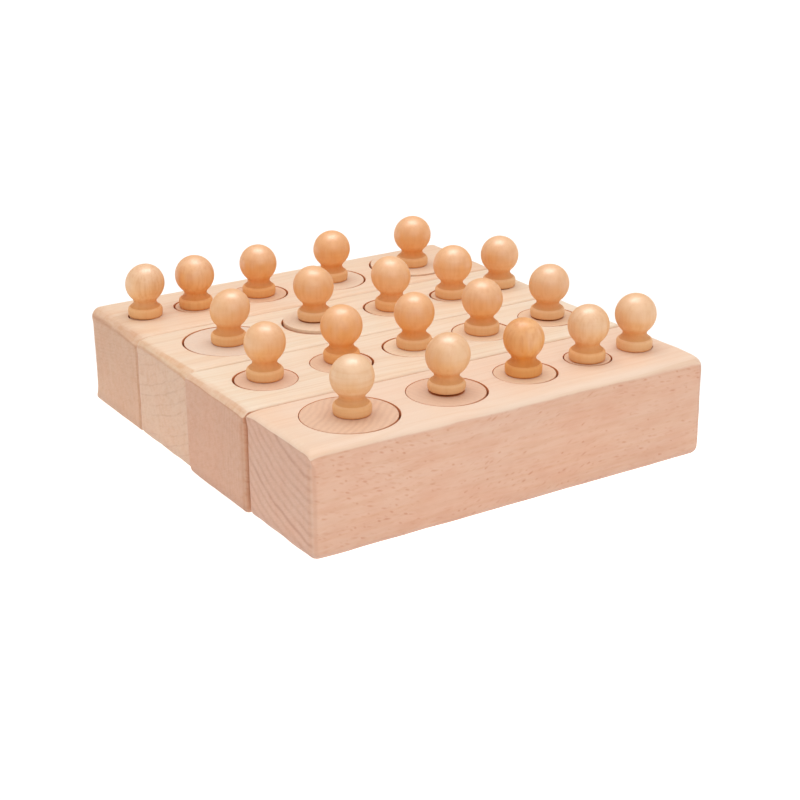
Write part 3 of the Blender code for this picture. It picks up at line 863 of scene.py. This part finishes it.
# ---- floor, light and camera ----------------------------------------------------------
floor_mesh = bmesh.new()
bmesh.ops.create_grid(floor_mesh, x_segments=8, y_segments=8, size=5.0)
bmesh.ops.translate(floor_mesh, vec=(0.0, 0.0, -0.0003), verts=floor_mesh.verts)
floor = new_object("studio_floor", mesh_from(floor_mesh, "studio_floor"))
paper = Wood("studio_paper")
spread = paper.local((0.0, 0.0, 0.0))
cloud, _ = paper.stretched(spread, (0.004, 0.004, 0.004), 4.0, detail=2.0)
paper.put(paper.bsdf.inputs["Base Color"], paper.mix(cloud, (0.905, 0.905, 0.90), (0.92, 0.92, 0.915)))
paper.bsdf.inputs["Roughness"].default_value = 0.8
paper.bsdf.inputs["Specular IOR Level"].default_value = 0.1
along, across, _ = paper.split(spread)
out_x = paper.math("SUBTRACT", paper.math("ABSOLUTE", along), BLOCK_LENGTH / 2)
out_y = paper.math("SUBTRACT", paper.math("ABSOLUTE", across), SET_WIDTH / 2)
out_from = paper.math("MAXIMUM", out_x, out_y)
# the floor glows: painted light, strongest round the blocks' footprint where it fills their contact shadow, and again
# far off
glow = paper.math("ADD", paper.step(out_from, -2.0, 3.0, 0.50, 0.0), paper.step(out_from, 0.0, 45.0, 0.50, 0.10))
paper.bsdf.inputs["Emission Color"].default_value = (1.0, 1.0, 0.99, 1.0)
paper.put(paper.bsdf.inputs["Emission Strength"], paper.math("ADD", glow, paper.step(out_from, 100.0, 700.0, 0.0, 0.60)))
floor.data.materials.append(paper.mat)

world = bpy.data.worlds.new("studio")
world.use_nodes = True
sky = world.node_tree
where = sky.nodes.new("ShaderNodeTexCoord")
parts = sky.nodes.new("ShaderNodeSeparateXYZ")
rise = sky.nodes.new("ShaderNodeMapRange")
rise.interpolation_type = "SMOOTHSTEP"
for key, value in (("From Min", 0.10), ("From Max", 1.0), ("To Min", 0.47), ("To Max", 0.89)):
    rise.inputs[key].default_value = value
sky.links.new(where.outputs["Generated"], parts.inputs[0])
sky.links.new(parts.outputs["Z"], rise.inputs["Value"])
sky.links.new(rise.outputs["Result"], sky.nodes["Background"].inputs["Strength"])
sky.nodes["Background"].inputs["Color"].default_value = (1.0, 0.995, 0.985, 1.0)
bpy.context.scene.world = world

azimuth, elevation, roll = math.radians(-32.561), math.radians(21.321), math.radians(0.317)
ahead = Vector((-math.sin(azimuth) * math.cos(elevation), math.cos(azimuth) * math.cos(elevation), -math.sin(elevation)))
level = ahead.cross(Vector((0.0, 0.0, 1.0))).normalized()


def softbox(name, place, aim, size, watts, colour=(1.0, 1.0, 1.0)):
    """A soft rectangle of light; its long side lies along the picture."""
    data = bpy.data.lights.new(name, "AREA")
    data.shape = "RECTANGLE"
    data.size, data.size_y = size
    data.energy = watts
    data.color = colour
    obj = bpy.data.objects.new(name, data)
    bpy.context.scene.collection.objects.link(obj)
    back = (Vector(place) - Vector(aim)).normalized()
    long = (level - back * level.dot(back)).normalized()
    short = back.cross(long)
    obj.matrix_world = Matrix((
        (long.x, short.x, back.x, place[0]),
        (long.y, short.y, back.y, place[1]),
        (long.z, short.z, back.z, place[2]),
        (0.0, 0.0, 0.0, 1.0),
    ))
    return obj


softbox("overhead", (0.08, 0.13, 1.15), (0.0, 0.0, 0.03), (0.85, 0.55), 5.2)
softbox("fill", (-0.45, -1.55, 0.75), (0.0, 0.0, 0.02), (1.5, 1.2), 3.0)

camera_data = bpy.data.cameras.new("camera")
camera_data.sensor_width = 36.0
camera_data.lens = 77.54
camera_data.clip_start, camera_data.clip_end = 0.01, 50.0
camera = bpy.data.objects.new("camera", camera_data)
bpy.context.scene.collection.objects.link(camera)
down = ahead.cross(level)
right = level * math.cos(roll) + down * math.sin(roll)
below = ahead.cross(right)
camera.matrix_world = Matrix((
    (right.x, -below.x, -ahead.x, -0.296804),
    (right.y, -below.y, -ahead.y, -0.475625),
    (right.z, -below.z, -ahead.z, 0.228183),
    (0.0, 0.0, 0.0, 1.0),
))
bpy.context.scene.camera = camera
bpy.context.scene.view_settings.view_transform = "Standard"
